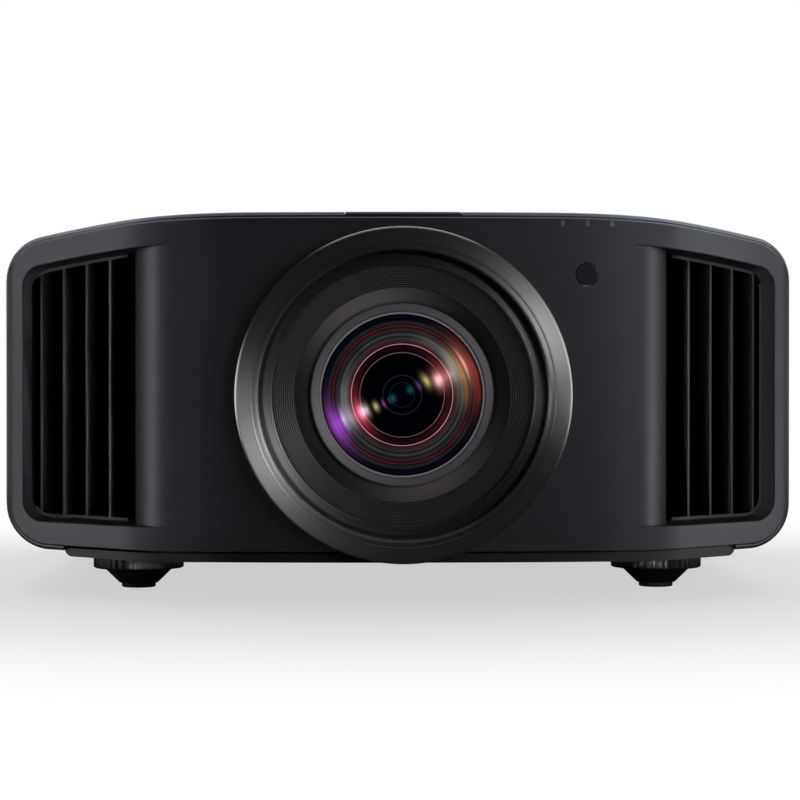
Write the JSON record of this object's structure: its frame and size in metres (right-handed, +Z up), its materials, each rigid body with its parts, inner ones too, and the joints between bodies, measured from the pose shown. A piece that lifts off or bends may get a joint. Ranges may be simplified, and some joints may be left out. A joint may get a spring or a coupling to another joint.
{
  "type": "home projector",
  "caption": "Full-size home-cinema projector: curved front with a large central lens, vertical side louvres, screw feet, lens shift and rear terminals.",
  "frame": {"origin": "on the ground, under the middle of the projector's box", "axes": "+Z up, -Y out of the lens, +X to the right seen from the front"},
  "size_m": [0.5, 0.518, 0.234],
  "materials": {
    "casing": "fine matte black paint",
    "strip": "satin black paint",
    "dark": "matte black moulding",
    "gunmetal": "brushed, dark anodised",
    "satin_ring": "satin, blue-grey anodised",
    "baffle": "matte black, ribbed",
    "lens_glass": "multi-coated, polished",
    "window": "dark infrared filter",
    "guide": "clear light guide",
    "rubber": "matte",
    "foot": "moulded black",
    "zinc": "cast, plain",
    "steel": "bright",
    "barrel": "black anodised",
    "brass": "turned",
    "board": "green laminate",
    "foam": "open-cell filter foam",
    "key": "satin black"
  },
  "bodies": {
    "housing": {"front_fascia": "casing", "top_cover": "casing", "top_center_strip": "strip", "bottom_tray": "dark", "rear_panel": "casing", "louvre_left": "dark", "louvre_right": "dark", "ir_window": "window", "light_guide_1": "guide", "light_guide_2": "guide", "light_guide_3": "guide", "lens_trim_ring": "gunmetal", "lens_inner_ring": "satin_ring", "lens_mount": "zinc", "terminal_plate": "dark", "hdmi_socket_1": "steel", "hdmi_socket_2": "steel", "lan_socket": "steel", "ac_inlet": "dark", "air_filter": "foam", "optical_block": "zinc", "color_prism": "lens_glass", "light_engine": "zinc", "fan_shroud_left": "dark", "fan_shroud_right": "dark", "power_supply": "zinc", "main_board": "board"},
    "lens_carriage": {"shift_carriage": "zinc"},
    "lens_unit": {"shift_slide": "zinc", "lens_barrel": "barrel", "lens_hood": "baffle", "lens_retaining_ring": "zinc", "front_lens": "lens_glass", "rear_lens": "lens_glass", "focus_motor": "steel", "zoom_motor": "steel"},
    "focus_ring": {"focus_ring": "barrel"},
    "zoom_ring": {"zoom_ring": "barrel"},
    "focus_pinion": {"focus_pinion": "brass"},
    "zoom_pinion": {"zoom_pinion": "brass"},
    "fan_left": {"fan_rotor_left": "dark"},
    "fan_right": {"fan_rotor_right": "dark"},
    "color_wheel": {"phosphor_wheel": "brass"},
    "filter_door": {"filter_cover": "casing"},
    "key_ok": {"button_ok": "key"},
    "key_up": {"button_up": "key"},
    "key_down": {"button_down": "key"},
    "key_left": {"button_left": "key"},
    "key_right": {"button_right": "key"},
    "key_power": {"button_power": "key"},
    "key_menu": {"button_menu": "key"},
    "key_back": {"button_back": "key"},
    "foot_front_left": {"foot_pad_front_left": "rubber"},
    "knob_front_left": {"foot_knob_front_left": "foot"},
    "foot_front_right": {"foot_pad_front_right": "rubber"},
    "knob_front_right": {"foot_knob_front_right": "foot"},
    "foot_rear_left": {"foot_pad_rear_left": "rubber"},
    "knob_rear_left": {"foot_knob_rear_left": "foot"},
    "foot_rear_right": {"foot_pad_rear_right": "rubber"},
    "knob_rear_right": {"foot_knob_rear_right": "foot"}
  },
  "joints": [
    {"name": "lens_shift_vertical", "type": "slide", "parent": "housing", "child": "lens_carriage", "axis": [0, 0, 1], "range_m": [-0.008, 0.008]},
    {"name": "lens_shift_horizontal", "type": "slide", "parent": "lens_carriage", "child": "lens_unit", "axis": [1, 0, 0], "range_m": [-0.0065, 0.0065]},
    {"name": "focus_ring_turn", "type": "hinge", "parent": "lens_unit", "child": "focus_ring", "pos_m": [0, -0.1865, 0.125], "axis": [0, 1, 0], "range_deg": [-60, 60]},
    {"name": "zoom_ring_turn", "type": "hinge", "parent": "lens_unit", "child": "zoom_ring", "pos_m": [0, -0.1165, 0.125], "axis": [0, 1, 0], "range_deg": [-45, 45]},
    {"name": "focus_pinion_turn", "type": "hinge", "parent": "lens_unit", "child": "focus_pinion", "pos_m": [-0.05275, -0.1865, 0.07225], "axis": [0, 1, 0], "range_deg": [-510, 510]},
    {"name": "zoom_pinion_turn", "type": "hinge", "parent": "lens_unit", "child": "zoom_pinion", "pos_m": [0.04002, -0.1165, 0.16502], "axis": [0, 1, 0], "range_deg": [-280, 280]},
    {"name": "fan_left_spin", "type": "hinge", "parent": "housing", "child": "fan_left", "pos_m": [-0.19, -0.05, 0.129], "axis": [0, 1, 0], "continuous": true},
    {"name": "fan_right_spin", "type": "hinge", "parent": "housing", "child": "fan_right", "pos_m": [0.19, -0.05, 0.129], "axis": [0, 1, 0], "continuous": true},
    {"name": "color_wheel_spin", "type": "hinge", "parent": "housing", "child": "color_wheel", "pos_m": [0.148, 0.048, 0.084], "axis": [0, 1, 0], "continuous": true},
    {"name": "filter_door_hinge", "type": "hinge", "parent": "housing", "child": "filter_door", "pos_m": [-0.18, 0.2544, 0.065], "axis": [-1, 0, 0], "range_deg": [0, 90]},
    {"name": "key_ok_press", "type": "slide", "parent": "housing", "child": "key_ok", "axis": [0, -1, 0], "range_m": [0, 0.0008], "stiffness_N_per_m": 1500},
    {"name": "key_up_press", "type": "slide", "parent": "housing", "child": "key_up", "axis": [0, -1, 0], "range_m": [0, 0.0008], "stiffness_N_per_m": 1500},
    {"name": "key_down_press", "type": "slide", "parent": "housing", "child": "key_down", "axis": [0, -1, 0], "range_m": [0, 0.0008], "stiffness_N_per_m": 1500},
    {"name": "key_left_press", "type": "slide", "parent": "housing", "child": "key_left", "axis": [0, -1, 0], "range_m": [0, 0.0008], "stiffness_N_per_m": 1500},
    {"name": "key_right_press", "type": "slide", "parent": "housing", "child": "key_right", "axis": [0, -1, 0], "range_m": [0, 0.0008], "stiffness_N_per_m": 1500},
    {"name": "key_power_press", "type": "slide", "parent": "housing", "child": "key_power", "axis": [0, -1, 0], "range_m": [0, 0.0008], "stiffness_N_per_m": 1500},
    {"name": "key_menu_press", "type": "slide", "parent": "housing", "child": "key_menu", "axis": [0, -1, 0], "range_m": [0, 0.0008], "stiffness_N_per_m": 1500},
    {"name": "key_back_press", "type": "slide", "parent": "housing", "child": "key_back", "axis": [0, -1, 0], "range_m": [0, 0.0008], "stiffness_N_per_m": 1500},
    {"name": "foot_front_left_lift", "type": "slide", "parent": "housing", "child": "foot_front_left", "axis": [0, 0, -1], "range_m": [0, 0.005]},
    {"name": "knob_front_left_turn", "type": "hinge", "parent": "foot_front_left", "child": "knob_front_left", "pos_m": [-0.168, -0.109, 0.016], "axis": [0, 0, 1], "range_deg": [0, 1441]},
    {"name": "foot_front_right_lift", "type": "slide", "parent": "housing", "child": "foot_front_right", "axis": [0, 0, -1], "range_m": [0, 0.005]},
    {"name": "knob_front_right_turn", "type": "hinge", "parent": "foot_front_right", "child": "knob_front_right", "pos_m": [0.168, -0.109, 0.016], "axis": [0, 0, 1], "range_deg": [0, 1441]},
    {"name": "foot_rear_left_lift", "type": "slide", "parent": "housing", "child": "foot_rear_left", "axis": [0, 0, -1], "range_m": [0, 0.005]},
    {"name": "knob_rear_left_turn", "type": "hinge", "parent": "foot_rear_left", "child": "knob_rear_left", "pos_m": [-0.168, 0.185, 0.016], "axis": [0, 0, 1], "range_deg": [0, 1441]},
    {"name": "foot_rear_right_lift", "type": "slide", "parent": "housing", "child": "foot_rear_right", "axis": [0, 0, -1], "range_m": [0, 0.005]},
    {"name": "knob_rear_right_turn", "type": "hinge", "parent": "foot_rear_right", "child": "knob_rear_right", "pos_m": [0.168, 0.185, 0.016], "axis": [0, 0, 1], "range_deg": [0, 1441]}
  ],
  "couplings": [
    {"joint": "focus_pinion_turn", "follows": "focus_ring_turn", "ratio": -8.2875},
    {"joint": "zoom_pinion_turn", "follows": "zoom_ring_turn", "ratio": -6.0375},
    {"joint": "knob_front_left_turn", "follows": "foot_front_left_lift", "rad_per_m": 5026.5},
    {"joint": "knob_front_right_turn", "follows": "foot_front_right_lift", "rad_per_m": 5026.5},
    {"joint": "knob_rear_left_turn", "follows": "foot_rear_left_lift", "rad_per_m": 5026.5},
    {"joint": "knob_rear_right_turn", "follows": "foot_rear_right_lift", "rad_per_m": 5026.5}
  ]
}
